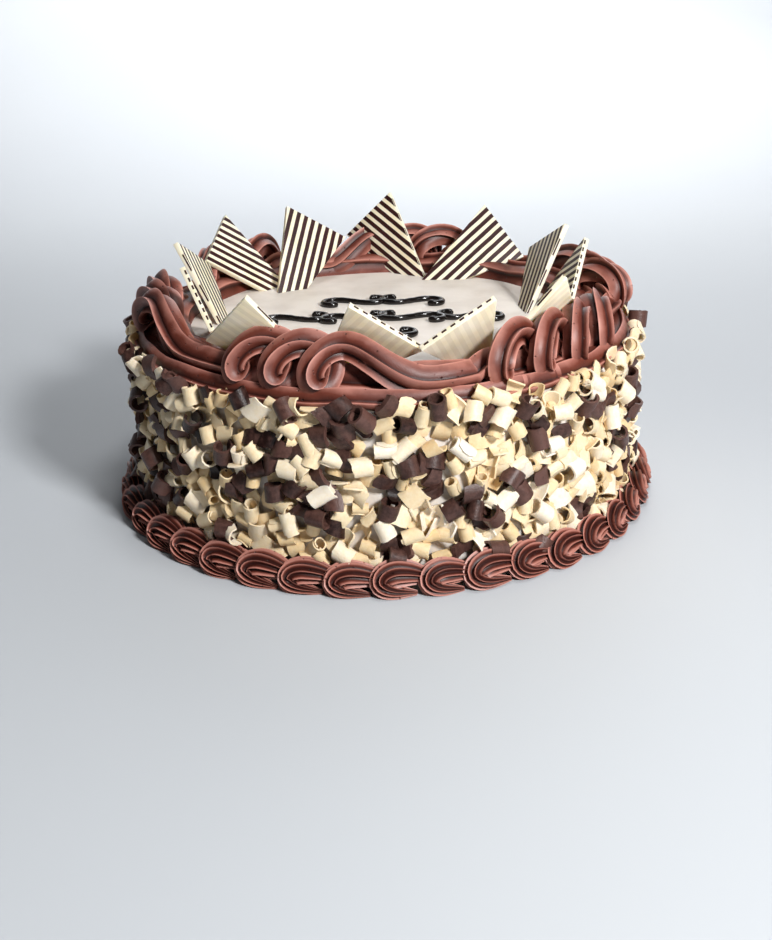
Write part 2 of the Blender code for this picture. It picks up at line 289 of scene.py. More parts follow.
def whippedCream(looks):
    material, tree = newMaterial(
        "whippedCream", Roughness=0.55, IOR=1.45, Subsurface_Weight=0.25, Subsurface_Scale=4 * mm,
        Subsurface_Radius=(1.0, 0.85, 0.7))
    place = objectPlace(tree)
    slow = addNoise(tree, place, looks["patch"], 3.0)
    colour = addRamp(tree, slow, (0.35, looks["shade"]), (0.6, looks["colour"]))
    stretched = addNode(tree, "ShaderNodeMapping", {
        "Scale": looks["strokeStretch"], "Rotation": (0, 0, looks["strokeTurn"])}, {"Vector": place})
    strokes = addNoise(tree, stretched.outputs["Vector"], looks["stroke"], 5.0, 0.55)
    finishMaterial(tree, colour, addBump(tree, strokes, looks["bump"], 0.6))
    return material


# chocolate buttercream: soft satin, tiny air pits; painted shade in the valleys, hollows and pits, painted
# highlight on the raised edges

buttercreamLooks = {
    # deep and pale are the ends reached by the painted shade in the valleys and hollows and by the painted
    # highlight on the raised edges; the mottling moves between them too
    "deep": "#32100a",
    "colour": "#673023",
    "pale": "#b87c6e",
    "paintedEdgeLightAndShade": (0.10, 0.80),   # how light the hollows and the raised edges are painted: painted shade in the hollows, painted highlight on the edges
    "valleyPaintedShade": 0.42,      # painted shade: how much darker the valleys are painted than the ridges
    "patch": 9 * mm,
    "pitSpacing": 3.4 * mm,
    "pitSize": 0.14,         # share of the spacing
    # how dark the air pits are painted: painted shade in the pits
    "pitPaintedShade": 0.45,
    "pitDepth": 0.5 * mm,
    "grain": 0.5 * mm,
    "grainDepth": 0.12 * mm,
}


def chocolateButtercream(looks):
    material, tree = newMaterial(
        "chocolateButtercream", Roughness=0.46, IOR=1.45, Specular_IOR_Level=0.55, Subsurface_Weight=0.04,
        Subsurface_Scale=1.5 * mm, Subsurface_Radius=(1.0, 0.5, 0.35))
    place = objectPlace(tree)
    # painted highlight on the raised edges and painted shade in the hollows, from how pointed the surface
    # is
    edge = addNode(tree, "ShaderNodeNewGeometry").outputs["Pointiness"]
    lift = addRange(tree, edge, 0.42, 0.58, *looks["paintedEdgeLightAndShade"])
    mottledAndEdgeLit = addMath(tree, "MULTIPLY_ADD", addNoise(tree, place, looks["patch"], 4.0), 0.5, lift)
    # painted shade: the valleys of the ridged section are darkened
    valleyShaded = addMath(tree, "MULTIPLY_ADD", ownValue(tree, "valley"), -looks["valleyPaintedShade"], mottledAndEdgeLit)
    colour = addRamp(tree, valleyShaded, (0.15, looks["deep"]), (0.5, looks["colour"]), (0.85, looks["pale"]))
    cells = addNode(tree, "ShaderNodeTexVoronoi", {"Scale": 1 / looks["pitSpacing"]}, {"Vector": place})
    pits = addRange(tree, cells.outputs["Distance"], 0.4 * looks["pitSize"], looks["pitSize"])
    # painted shade: the colour is darkened in the air pits
    pitShadeLevel = addRange(tree, pits, 0.0, 1.0, looks["pitPaintedShade"])
    pitted = addNode(tree, "ShaderNodeMix", {"Factor": 1.0}, {6: colour, 7: pitShadeLevel},
                     data_type="RGBA", blend_type="MULTIPLY").outputs[2]
    fine = addBump(tree, addNoise(tree, place, looks["grain"], 3.0), looks["grainDepth"], 0.6)
    finishMaterial(tree, pitted, addBump(tree, pits, looks["pitDepth"], 0.7, fine))
    return material


# chocolate curls: shaved off a block, smooth outside, finely dragged along the cut

shavingLooks = {
    "bloom": 2.0 * mm,       # size of the paler spots
    "grain": 0.6 * mm,
    "grainDepth": 0.25 * mm,
}


def shavedChocolate(looks, name, dark, mid, light, roughness, subsurface):
    # each curl has its own value "shade", from 0 to 1
    material, tree = newMaterial(
        name, Roughness=roughness, IOR=1.46, Specular_IOR_Level=0.35, Subsurface_Weight=subsurface,
        Subsurface_Scale=2 * mm, Subsurface_Radius=(1.0, 0.75, 0.45))
    place = objectPlace(tree)
    bloom = addMath(tree, "MULTIPLY", addNoise(tree, place, looks["bloom"], 6.0, 0.68), 0.5)
    mixed = addMath(tree, "MULTIPLY_ADD", ownValue(tree, "shade"), 0.5, bloom)
    colour = addRamp(tree, mixed, (0.25, dark), (0.5, mid), (0.75, light))
    grain = addNoise(tree, place, looks["grain"], 4.0)
    finishMaterial(tree, colour, addBump(tree, grain, looks["grainDepth"], 0.6))
    return material


# cake body: cream on the top and on the side, uneven behind the curls

bodySizes = {
    "radius": 103 * mm,
    "height": 73 * mm,
    "round": 2.5 * mm,
    "lump": 9 * mm,          # width of the lumps on the side
    "lumpHeight": 1.3 * mm,
    "lumpInward": 0.6,       # share of the lumps' height that the side is set back
    "wave": 14 * mm,         # width of the slow waves on the top
    "waveHeight": 0.25 * mm,
    "around": 320,
    "across": 34,
    "roundSteps": 6,
    "down": 50,
}


def bodyProfile(sizes):
    # from the middle of the top over the rounded rim down to the foot, as radius and height
    shares = np.linspace(0.02, 0.96, sizes["across"])
    profile = [(share * sizes["radius"], sizes["height"]) for share in shares]
    for step in range(sizes["roundSteps"]):
        angle = 0.5 * math.pi * (1 - step / (sizes["roundSteps"] - 1))
        profile.append((
            sizes["radius"] - sizes["round"] * (1 - math.cos(angle)),
            sizes["height"] - sizes["round"] * (1 - math.sin(angle)),
        ))
    heights = np.linspace(sizes["height"] - sizes["round"], 0, sizes["down"])
    return profile + [(sizes["radius"], height) for height in heights[1:]]


def makeBody(sizes, material):
    profile = bodyProfile(sizes)
    rings, around = len(profile), sizes["around"]
    verts, faces = [], []
    for index in range(around):
        out = outward(360 * index / around)
        for radius, height in profile:
            place = out * radius + Vector((0, 0, height))
            if radius > 0.95 * sizes["radius"]:
                wave = noise.noise(place / sizes["lump"]) + 0.5 * noise.noise(place / (0.4 * sizes["lump"]))
                place += out * sizes["lumpHeight"] * (wave - sizes["lumpInward"])
            else:
                place.z += sizes["waveHeight"] * (noise.noise(place / sizes["wave"]) - 0.5)
            verts.append(place)
    verts += [Vector((0, 0, sizes["height"])), Vector((0, 0, 0))]
    for index in range(around):
        low, high = index * rings, ((index + 1) % around) * rings
        for step in range(rings - 1):
            faces.append((low + step, low + step + 1, high + step + 1, high + step))
        faces.append((len(verts) - 2, low, high))
        faces.append((len(verts) - 1, high + rings - 1, low + rings - 1))
    item = newObject("creamBody", meshFrom("creamBody", verts, faces), material)
    return finishPiece(item, "cake")


makeBody(bodySizes, whippedCream(creamLooks))


# piped rope round the top

ropeSizes = {
    "radius": 6.3 * mm,
    "lobes": 5,
    "valley": 0.46,          # depth of the valleys, as a share of the radius
    "sectionTurn": -4,       # degrees that the nozzle is turned
    "faceUp": 20,            # degrees that the nozzle's front looks up
    "low": 3.2 * mm,         # height of the strand's middle over the cake's top, at its lowest
    "lead": 3.5,             # degrees that the first loop starts late
    "rise": 6.8 * mm,
    "sway": 6.4 * mm,
    "lean": 5.8 * mm,        # the loops stand further out at their left
    "loopScale": 0.88,
    "ribbonScale": 1.04,
    "dropEnd": 0.6,          # share of the ribbon where it has come down
    "thickEnd": 0.5,         # share of the ribbon where it is thick again
    "stepsPerLoop": 42,
    "easing": 14,            # how often the strand's corners are eased
    # how unevenly it is piped: its middle's wander, its swelling, and the ridges' small waves
    "wander": 0.5 * mm,
    "wanderStep": 0.06,
    "swell": 0.05,
    "ripple": 0.03,
    "rippleWidth": 2.4 * mm,
    "rippleStep": 0.16,
    # the ridged beads under the loops: radius of the ring, height over the cake's top, scale
    "beads": ((88.6 * mm, 1.5 * mm, 1.20), (100.0 * mm, -1.6 * mm, 0.80)),
    "beadTurns": (30, 400, 221),   # first and last degree, which lie under a run, and how many steps
    "beadValley": 0.28,
    "beadWander": 1.4 * mm,
    "beadWave": 5.0,
    "beadSwell": 0.12,
}

# one row for each run: where it starts and ends in degrees, how many loops it has, how far
# from the middle it runs, how many degrees its loops tip back, and the ribbon's radius
ropeRuns = (
    (17, 62, 4, 94.5 * mm, 25, 92 * mm),
    (87, 109, 3, 96.5 * mm, 5, 96 * mm),
    (150, 178, 3, 95.5 * mm, 0, 86 * mm),
    (206, 232, 3, 96 * mm, 0, 89 * mm),
    (253, 283, 3, 94.5 * mm, 10, 95 * mm),
    (321, 348, 3, 94.5 * mm, 45, 99.5 * mm),
)

# how a ridge of the nozzle is shaped: share of the way to the next ridge, share of the depth
ridgeShape = (
    (0.00, 0.00), (0.03, 0.05), (0.10, 0.16), (0.20, 0.31), (0.32, 0.47), (0.44, 0.62),
    (0.56, 0.76), (0.68, 0.89), (0.78, 0.98), (0.84, 1.00), (0.89, 0.90), (0.94, 0.56), (0.975, 0.18),
)


def ropeSection(sizes):
    points = []
    for lobe in range(sizes["lobes"]):
        for part, drop in ridgeShape:
            angle = math.tau * (lobe + part) / sizes["lobes"] + math.radians(sizes["sectionTurn"])
            radius = sizes["radius"] * (1 - sizes["valley"] * drop)
            points.append((radius * math.cos(angle), radius * math.sin(angle)))
    return points


def ropePath(sizes, start, end, loops, centre, tip, ribbonRadius, following):
    # the middle of the strand: turning loops, then the plain ribbon to the next run
    rows = []
    low = bodySizes["height"] + sizes["low"]
    pitch = (end - start) / loops
    tip = math.radians(tip)
    steps = sizes["stepsPerLoop"]
    loopScale, ribbonScale = sizes["loopScale"], sizes["ribbonScale"]
    for index in range(loops * steps + 1):
        phase = math.tau * index / steps
        grow = smooth(phase / math.pi)
        radius = centre - sizes["lean"] * math.sin(phase + tip) * grow
        turn = start + sizes["lead"] + pitch * phase / math.tau
        turn += math.degrees(sizes["sway"] * math.sin(phase) * grow / radius)
        height = low + sizes["rise"] * grow * (1 + math.cos(phase))
        rows.append((turn, radius, height, ribbonScale + (loopScale - ribbonScale) * grow))
    turnFrom, radiusFrom, heightFrom, _ = rows[-1]
    nextStart, nextCentre = following
    turnTo = nextStart + sizes["lead"]
    for index in range(1, steps + 1):
        part = index / steps
        turn = turnFrom + (turnTo - turnFrom) * part
        radius = radiusFrom + (nextCentre - radiusFrom) * smooth(part)
        radius += (ribbonRadius - nextCentre) * math.sin(math.pi * part)
        height = heightFrom + (low - heightFrom) * smooth(part / sizes["dropEnd"])
        scale = loopScale + (ribbonScale - loopScale) * smooth(part / sizes["thickEnd"])
        rows.append((turn, radius, height, scale))
    return rows


def easeCorners(points, passes):
    # each point moves towards the middle of its neighbours; the ends stay
    points = np.array([tuple(point) for point in points])
    for _ in range(passes):
        points[1:-1] += 0.5 * (0.5 * (points[:-2] + points[2:]) - points[1:-1])
    return points


def ropeRun(sizes, index, rows, section):
    # one run as a ribbed tube, piped a little unevenly
    lift, width = math.radians(sizes["faceUp"]), sizes["rippleWidth"]
    points, ups, scales, ripple = [], [], [], []
    for step, (turn, radius, height, scale) in enumerate(rows):
        out = outward(turn)
        wobble = Vector((index * 7.3, step * sizes["wanderStep"], 0.0))
        point = out * (radius + sizes["wander"] * noise.noise(wobble))
        point.z = height + sizes["wander"] * noise.noise(wobble + Vector((0, 0, 5)))
        points.append(point)
        ups.append(out * math.cos(lift) + Vector((0, 0, math.sin(lift))))
        scales.append(scale * (1 + sizes["swell"] * noise.noise(wobble * 2.0)))
        travelled = step * sizes["rippleStep"] + index * 31
        ripple.append([1 + sizes["ripple"] * noise.noise(Vector((x / width, y / width, travelled)))
                       for x, y in section])
    return sweepTube(easeCorners(points, sizes["easing"]), ups, scales, section, np.array(ripple))


def ropeBead(sizes, centre, height, scale):
    # a flatter ribbed ring; its two ends meet under a run
    section = ropeSection(sizes | {"valley": sizes["beadValley"]})
    points, ups, scales = [], [], []
    for turn in np.linspace(*sizes["beadTurns"]):
        out = outward(turn)
        wave = noise.noise(out * sizes["beadWave"] + Vector((0, 0, centre / mm)))
        level = bodySizes["height"] + height + sizes["beadWander"] * wave
        points.append(out * centre + Vector((0, 0, level)))
        ups.append(out)
        scales.append(scale * (1 + sizes["beadSwell"] * wave))
    return sweepTube(points, ups, scales, section)


def makeRope(sizes, runs, material):
    section = ropeSection(sizes)
    tubes = []
    for index, row in enumerate(runs):
        nextRow = runs[(index + 1) % len(runs)]
        nextStart = nextRow[0] + (360 if nextRow[0] < row[0] else 0)
        rows = ropePath(sizes, *row, (nextStart, nextRow[3]))
        tubes.append(ropeRun(sizes, index, rows, section))
    tubes += [ropeBead(sizes, *bead) for bead in sizes["beads"]]
    verts, faces, valleys = [], [], []
    for tube in tubes:
        addTube(verts, faces, tube)
        valleys += tubeValleys(ridgeShape, sizes["lobes"], len(tube[0]) // len(section))
    mesh = meshFrom("pipedRope", verts, faces, 40)
    markValleys(mesh, valleys)
    return finishPiece(newObject("pipedRope", mesh, material), "top_border")


buttercream = chocolateButtercream(buttercreamLooks)
makeRope(ropeSizes, ropeRuns, buttercream)


# piped shells round the foot: each starts low, hooks up and over, and tails off

shellSizes = {
    "count": 40,
    "ringRadius": 103.3 * mm,
    "ridges": 12,
    "valley": 0.38,
    "steps": 3,              # steps between two rows of the path
    "up": (0, -0.8, 0.6),    # where the nozzle's front looks
    "kinds": ((0.0, 1.0), (0.22, 1.04), (-0.18, 0.97)),   # how far turned, how far stretched
    "jitter": (0.05, 0.04, 0.015),
    "scales": (0.97, 1.06),
    "seed": 4,
}

# the strand's middle: along the ring, out from the cake, up, and its radius, in mm
shellPath = (
    (11.5, 9.6, 0.9, 0.9),
    (8.0, 10.0, 1.3, 1.9),
    (4.0, 10.2, 1.7, 3.0),
    (0.6, 9.8, 2.6, 4.0),
    (-1.2, 9.0, 4.4, 4.8),
    (0.0, 8.0, 6.4, 5.4),
    (3.2, 7.0, 7.4, 5.6),
    (7.0, 6.2, 7.2, 5.2),
    (11.0, 5.6, 6.4, 4.2),
    (15.0, 5.2, 5.2, 2.8),
    (18.0, 5.0, 4.2, 1.4),
)

# sharp crests with round valleys: share of the way to the next ridge, share of the depth
shellRidge = ((0.0, 0.0), (0.07, 0.38), (0.20, 0.80), (0.50, 1.0), (0.80, 0.80), (0.93, 0.38))


def smoothRows(rows, steps):
    # a smooth curve through the rows
    rows = np.array(rows, float)
    found = []
    for index in range(len(rows) - 1):
        a = rows[max(index - 1, 0)]
        b, c = rows[index], rows[index + 1]
        d = rows[min(index + 2, len(rows) - 1)]
        for step in range(steps):
            t = step / steps
            found.append(0.5 * (2 * b + (c - a) * t + (2 * a - 5 * b + 4 * c - d) * t * t
                                + (3 * b - a - 3 * c + d) * t ** 3))
    found.append(rows[-1])
    return np.array(found)


def shellMesh(sizes, turned, stretch):
    section = []
    ridges = sizes["ridges"]
    for ridge in range(ridges):
        for part, drop in shellRidge:
            angle = math.tau * (ridge + part) / ridges + turned
            radius = 1 - sizes["valley"] * drop
            section.append((radius * math.cos(angle), radius * math.sin(angle)))
    rows = smoothRows(shellPath, sizes["steps"])
    points = [Vector((row[0] * stretch, -row[1], row[2])) * mm for row in rows]
    verts, faces = sweepTube(points, [Vector(sizes["up"])] * len(rows), rows[:, 3] * mm, section)
    verts = [(x, y, max(z, 0.0)) for x, y, z in verts]
    mesh = meshFrom("shell", verts, faces, 60)
    markValleys(mesh, tubeValleys(shellRidge, ridges, len(rows)))
    return mesh


def newTree(name, inputs):
    # a tree with one named input for each size; also gives the sockets that they come in by
    tree = bpy.data.node_groups.new(name, "GeometryNodeTree")
    tree.interface.new_socket("Geometry", in_out="INPUT", socket_type="NodeSocketGeometry")
    tree.interface.new_socket("Geometry", in_out="OUTPUT", socket_type="NodeSocketGeometry")
    for key, kind in inputs.items():
        tree.interface.new_socket(key, in_out="INPUT", socket_type="NodeSocket" + kind)
    return tree, addNode(tree, "NodeGroupInput").outputs


def finishTree(tree, instances, material):
    real = addNode(tree, "GeometryNodeRealizeInstances", links={"Geometry": instances})
    dressed = addNode(tree, "GeometryNodeSetMaterial", links={
        "Geometry": real.outputs[0], "Material": material})
    addNode(tree, "NodeGroupOutput", links={"Geometry": dressed.outputs[0]})
    return tree


def applyTree(item, tree, values):
    # a modifier's inputs go by their sockets' identifiers
    modifier = item.modifiers.new("make", "NODES")
    modifier.node_group = tree
    for socket in tree.interface.items_tree:
        if socket.in_out == "INPUT" and socket.name in values:
            modifier[socket.identifier] = values[socket.name]
    bpy.context.view_layer.update()
    graph = bpy.context.evaluated_depsgraph_get()
    mesh = bpy.data.meshes.new_from_object(item.evaluated_get(graph), depsgraph=graph)
    item.modifiers.clear()
    item.data = mesh


def addRandom(tree, kind, least, most, seed):
    # the node has its own sockets for each kind of value
    place = {"FLOAT_VECTOR": 0, "FLOAT": 1, "INT": 2}[kind]
    node = addNode(tree, "FunctionNodeRandomValue", links={"Seed": seed}, data_type=kind)
    feed(tree, node.inputs[2 * place], least)
    feed(tree, node.inputs[2 * place + 1], most)
    return node.outputs[place]


def addTurn(tree, rotation, angles):
    # the rotation, turned on by the angles about its own axes
    extra = addNode(tree, "FunctionNodeEulerToRotation", links={"Euler": angles})
    return addNode(tree, "FunctionNodeRotateRotation", links={
        "Rotation": rotation, "Rotate By": extra.outputs[0]}, rotation_space="LOCAL").outputs[0]


def addPieces(tree, points, kinds, count, seed, **links):
    # one of the collection's pieces on each point, picked at random
    pieces = addNode(tree, "GeometryNodeCollectionInfo", {
        "Separate Children": True, "Reset Children": True}, {"Collection": kinds})
    links |= {"Points": points, "Instance": pieces.outputs[0],
              "Instance Index": addRandom(tree, "INT", 0, count - 1, seed)}
    return addNode(tree, "GeometryNodeInstanceOnPoints", {"Pick Instance": True}, links).outputs[0]


def shellTree(sizes):
    tree, given = newTree("shellsRoundFoot", {
        "Count": "Int", "Radius": "Float", "Seed": "Int", "Kinds": "Collection", "Material": "Material"})
    ring = addNode(tree, "GeometryNodeMeshCircle", links={
        "Vertices": given["Count"], "Radius": given["Radius"]})
    share = addMath(tree, "DIVIDE", addNode(tree, "GeometryNodeInputIndex").outputs[0], given["Count"])
    turn = addMath(tree, "MULTIPLY_ADD", share, math.tau, math.pi / 2)
    angles = addNode(tree, "ShaderNodeCombineXYZ", links={"Z": turn})
    facing = addNode(tree, "FunctionNodeEulerToRotation", links={"Euler": angles.outputs[0]})
    least = [-part for part in sizes["jitter"]]
    jitter = addRandom(tree, "FLOAT_VECTOR", least, sizes["jitter"], given["Seed"])
    placed = addPieces(
        tree, ring.outputs[0], given["Kinds"], len(sizes["kinds"]), given["Seed"],
        Rotation=addTurn(tree, facing.outputs[0], jitter),
        Scale=addRandom(tree, "FLOAT", *sizes["scales"], given["Seed"]))
    return finishTree(tree, placed, given["Material"])


def removeCollection(group):
    for item in list(group.objects):
        bpy.data.objects.remove(item, do_unlink=True)
    bpy.data.collections.remove(group)


def makeShells(sizes, material):
    group = bpy.data.collections.new("shellKinds")
    scene.collection.children.link(group)
    for index, (turned, stretch) in enumerate(sizes["kinds"]):
        newObject("shellKind%d" % index, shellMesh(sizes, turned, stretch), None, group)
    item = newObject("pipedShells", bpy.data.meshes.new("pipedShells"))
    applyTree(item, shellTree(sizes), {
        "Count": sizes["count"], "Radius": sizes["ringRadius"], "Seed": sizes["seed"],
        "Kinds": group, "Material": material})
    removeCollection(group)
    for vertex in item.data.vertices:
        vertex.co.z = max(vertex.co.z, 0.0)
    finishPiece(item, "bottom_border")


makeShells(shellSizes, buttercream)


# chocolate curls on the side

curlSizes = {
    "low": 9.0 * mm,
    "high": 72.5 * mm,
    "flare": 1.0 * mm,       # how far the band stands out at the rope
    "flareFrom": 0.9,        # share of the body's height where that starts
    "spacing": 4.85 * mm,
    "standOff": (0.0 * mm, 2.4 * mm),
    "sink": 0.9 * mm,        # how deep a curl's lowest point is pressed in
    "clump": 9 * mm,         # size of the light and dark clumps
    "darkShare": 0.37,
    "darkLeft": 0.85,        # how much the dark ones gather at the left, a metre
    "mixing": 0.32,          # how far single curls stray from their clump's colour
    "spin": (0.55, 0.50, math.pi),
    "scales": (0.85, 1.28),
    "across": 3,             # faces over a curl's width
    "arc": 30,               # degrees that a face rolls on, about
    "ragged": 0.35 * mm,
    "edgeBow": 0.30,
    "seed": 7,
}

# rolled radius, growth a turn, degrees rolled, width, slant, taper, roll, thickness
whiteCurls = (
    (2.1, 0.22, 430, 8.2, 0.08, 0.08, 40, 0.60),
    (2.4, 0.20, 330, 7.2, 0.20, 0.12, 150, 0.60),
    (2.9, 0.10, 230, 7.8, 0.18, 0.25, 200, 0.65),
    (1.8, 0.30, 460, 7.0, 0.12, 0.10, 260, 0.60),
    (4.8, 0.00, 110, 8.2, 0.25, 0.10, 180, 0.65),
    (6.4, 0.00, 80, 7.4, -0.30, 0.15, 180, 0.70),
    (3.4, 0.10, 170, 7.0, -0.20, 0.20, 0, 0.65),
)
darkCurls = (
    (2.6, 0.20, 300, 6.8, 0.15, 0.25, 120, 0.90),
    (2.2, 0.25, 360, 7.0, 0.10, 0.15, 200, 0.80),
    (4.0, 0.00, 110, 7.4, 0.20, 0.45, 180, 1.40),
    (5.0, 0.00, 80, 7.0, 0.15, 0.55, 180, 1.60),
    (3.4, 0.05, 150, 7.0, -0.30, 0.30, 180, 1.20),
    (4.4, 0.00, 90, 6.4, -0.20, 0.50, 0, 1.40),
    (5.6, 0.00, 66, 6.8, 0.35, 0.35, 180, 1.60),
)


def curlMesh(sizes, radius, growth, sweep, width, slant, taper, roll, thickness):
    around, across = max(5, round(sweep / sizes["arc"])), sizes["across"]
    total, turned = math.radians(sweep), math.radians(roll)
    sides = []
    for wall in (0.5, -0.5):
        for i in range(around + 1):
            part = i / around
            angle = total * (part - 0.5)
            rolled = (radius * (1 + growth * total * part / math.tau) + wall * thickness) * mm
            half = width * mm * (1 - taper * (0.25 + 0.75 * part)) / 2
            bow = sizes["edgeBow"] * half * (1 if i == around else -0.6 if i == 0 else 0)
            for j in range(across + 1):
                side = 2 * j / across - 1
                ragged = sizes["ragged"] * noise.noise(Vector((i * 1.7, j * 3.1, radius * 5)))
                x = half * side + slant * width * mm * (part - 0.5) + ragged
                bowed = angle + bow * (1 - side * side) / rolled
                y, z = rolled * math.sin(bowed), -rolled * math.cos(bowed)
                sides.append((x, y * math.cos(turned) - z * math.sin(turned),
                              y * math.sin(turned) + z * math.cos(turned)))
    lowest = min(z for _, _, z in sides) + sizes["sink"]
    middle = 0.5 * (min(y for _, y, _ in sides) + max(y for _, y, _ in sides))
    verts = [(x, y - middle, z - lowest) for x, y, z in sides]
    row, wall = across + 1, (around + 1) * (across + 1)
    faces = []
    for i in range(around):
        for j in range(across):
            a = i * row + j
            faces.append((a, a + 1, a + row + 1, a + row))
            faces.append((wall + a, wall + a + row, wall + a + row + 1, wall + a + 1))
    for i in range(around):
        a, b = i * row, i * row + across
        faces.append((a, a + row, wall + a + row, wall + a))
        faces.append((b + row, b, wall + b, wall + b + row))
    for j in range(across):
        a, b = j, around * row + j
        faces.append((a + 1, a, wall + a, wall + a + 1))
        faces.append((b, b + 1, wall + b + 1, wall + b))
    return meshFrom("curl", verts, faces, 40)


def curlTree(sizes):
    tree, given = newTree("curlsOnSide", {
        "Spacing": "Float", "Stand Off Least": "Float", "Stand Off Most": "Float", "Clump Scale": "Float",
        "Dark Share": "Float", "Dark": "Bool", "Seed": "Int", "Kinds": "Collection",
        "Material": "Material"})
    seed = given["Seed"]
    spread = addNode(tree, "GeometryNodeDistributePointsOnFaces", {"Density Max": 200000.0}, {
        "Mesh": given["Geometry"], "Distance Min": given["Spacing"], "Seed": seed},
        distribute_method="POISSON")
    off = addRandom(tree, "FLOAT", given["Stand Off Least"], given["Stand Off Most"], seed)
    push = addNode(tree, "ShaderNodeVectorMath", links={
        "Vector": spread.outputs["Normal"], "Scale": off}, operation="SCALE")
    raised = addNode(tree, "GeometryNodeSetPosition", links={
        "Geometry": spread.outputs["Points"], "Offset": push.outputs["Vector"]})
    # darker or lighter clumps, darker at the left
    where = addNode(tree, "GeometryNodeInputPosition").outputs[0]
    clump = addNode(tree, "ShaderNodeTexNoise", {"Detail": 1.0}, {
        "Vector": where, "Scale": given["Clump Scale"]})
    parts = addNode(tree, "ShaderNodeSeparateXYZ", links={"Vector": where})
    tilted = addMath(tree, "MULTIPLY_ADD", parts.outputs["X"], -sizes["darkLeft"], clump.outputs["Fac"])
    mixed = addMath(tree, "ADD", tilted, addRandom(tree, "FLOAT", -sizes["mixing"], sizes["mixing"], seed))
    isDark = addNode(tree, "FunctionNodeCompare", links={
        0: mixed, 1: addMath(tree, "SUBTRACT", 1.0, given["Dark Share"])},
        data_type="FLOAT", operation="GREATER_THAN")
    wanted = addNode(tree, "FunctionNodeBooleanMath", links={
        0: isDark.outputs[0], 1: given["Dark"]}, operation="XNOR")
    spin = addRandom(tree, "FLOAT_VECTOR", [-part for part in sizes["spin"]], sizes["spin"], seed)
    placed = addPieces(
        tree, raised.outputs[0], given["Kinds"], len(whiteCurls), seed, Selection=wanted.outputs[0],
        Rotation=addTurn(tree, spread.outputs["Rotation"], spin),
        Scale=addRandom(tree, "FLOAT", *sizes["scales"], seed))
    shaded = addNode(tree, "GeometryNodeStoreNamedAttribute", {"Name": "shade"}, {
        "Geometry": placed, "Value": addRandom(tree, "FLOAT", 0.0, 1.0, seed)},
        data_type="FLOAT", domain="INSTANCE")
    return finishTree(tree, shaded.outputs[0], given["Material"])


def sideBand(sizes):
    # the strip of the side that the curls are pressed into
    rows, around = 8, 180
    flareFrom = sizes["flareFrom"] * bodySizes["height"]
    verts, faces = [], []
    for i in range(around):
        for height in np.linspace(sizes["low"], sizes["high"], rows + 1):
            flare = sizes["flare"] * smooth((height - flareFrom) / (sizes["high"] - flareFrom))
            verts.append(outward(360 * i / around) * (bodySizes["radius"] + flare) + Vector((0, 0, height)))
        low, high = i * (rows + 1), ((i + 1) % around) * (rows + 1)
        faces += [(low + j, high + j, high + j + 1, low + j + 1) for j in range(rows)]
    return meshFrom("sideBand", verts, faces)


def makeCurls(name, sizes, kinds, dark, tree, material):
    group = bpy.data.collections.new(name + "Kinds")
    scene.collection.children.link(group)
    for index, row in enumerate(kinds):
        newObject("%sKind%d" % (name, index), curlMesh(sizes, *row), None, group)
    item = newObject(name, sideBand(sizes))
    applyTree(item, tree, {
        "Spacing": sizes["spacing"], "Stand Off Least": sizes["standOff"][0],
        "Stand Off Most": sizes["standOff"][1], "Clump Scale": 1 / sizes["clump"],
        "Dark Share": sizes["darkShare"], "Dark": dark, "Seed": sizes["seed"],
        "Kinds": group, "Material": material})
    removeCollection(group)
    finishPiece(item, None)


curlsTree = curlTree(curlSizes)
# milk fat gives white chocolate its ivory yellow and a soft shine
whiteShavings = shavedChocolate(
    shavingLooks, "whiteChocolateCurls", "#e0c192", "#edd7b3", "#f5e8d6", 0.45, 0.22)
# dark chocolate, a little bloomed: grey brown on the worn faces
darkShavings = shavedChocolate(
    shavingLooks, "darkChocolateCurls", "#080201", "#1d0b07", "#5c4039", 0.38, 0.0)
makeCurls("whiteChocolateCurls", curlSizes, whiteCurls, False, curlsTree,
          whiteShavings)
makeCurls("darkChocolateCurls", curlSizes, darkCurls, True, curlsTree,
          darkShavings)


# striped chocolate triangles

# in millimetres
plaqueSizes = {
    "base": 32.0,
    "length": 60.0,
    "thickness": 2.4,
    "bevel": 0.22,
    "stripe": 3.8,           # dark and light together
    "darkPart": 0.54,
    "stripeBlur": 0.06,
    "stripeWaver": 0.30,
    "faceDepth": 0.12,       # how deep the stripes go into the face
    "dashMiddle": 0.45,      # how far the dashes on the edges are from the middle of the thickness
    "dashHalf": 0.38,
    "ghost": 0.10,           # how much of the stripes shines through the back
}

# facing, tip's azimuth, tip's radius, tip's height, lean, tilt, the stripes' angle to the middle line
plaqueRows = (
    (-18, -8, 72, 59, 27, -46, 0),
    (-17, -27, 64, 59, 33, 42, 0),
    (38, 42, 62, 61, 37, -41, 0),
    (44, 22, 74, 60, 27, 49, 0),
    (92, 118, 70, 56, 26, -43, -15),
    (98, 86.5, 55, 57, 30, 35, 0),
    (174, 172, 64, 62, 29, -53, 7),
    (151, 158, 72, 57, 8, 44, 15),
    (209, 234, 63, 56, 26, -35, 7),
    (236, 209, 72, 57, 34, 34, 15),
    (270, 282, 60, 55, 30, -35, 0),
    (284.5, 269.6, 67.4, 53.3, 20.4, 42.5, 0),
)


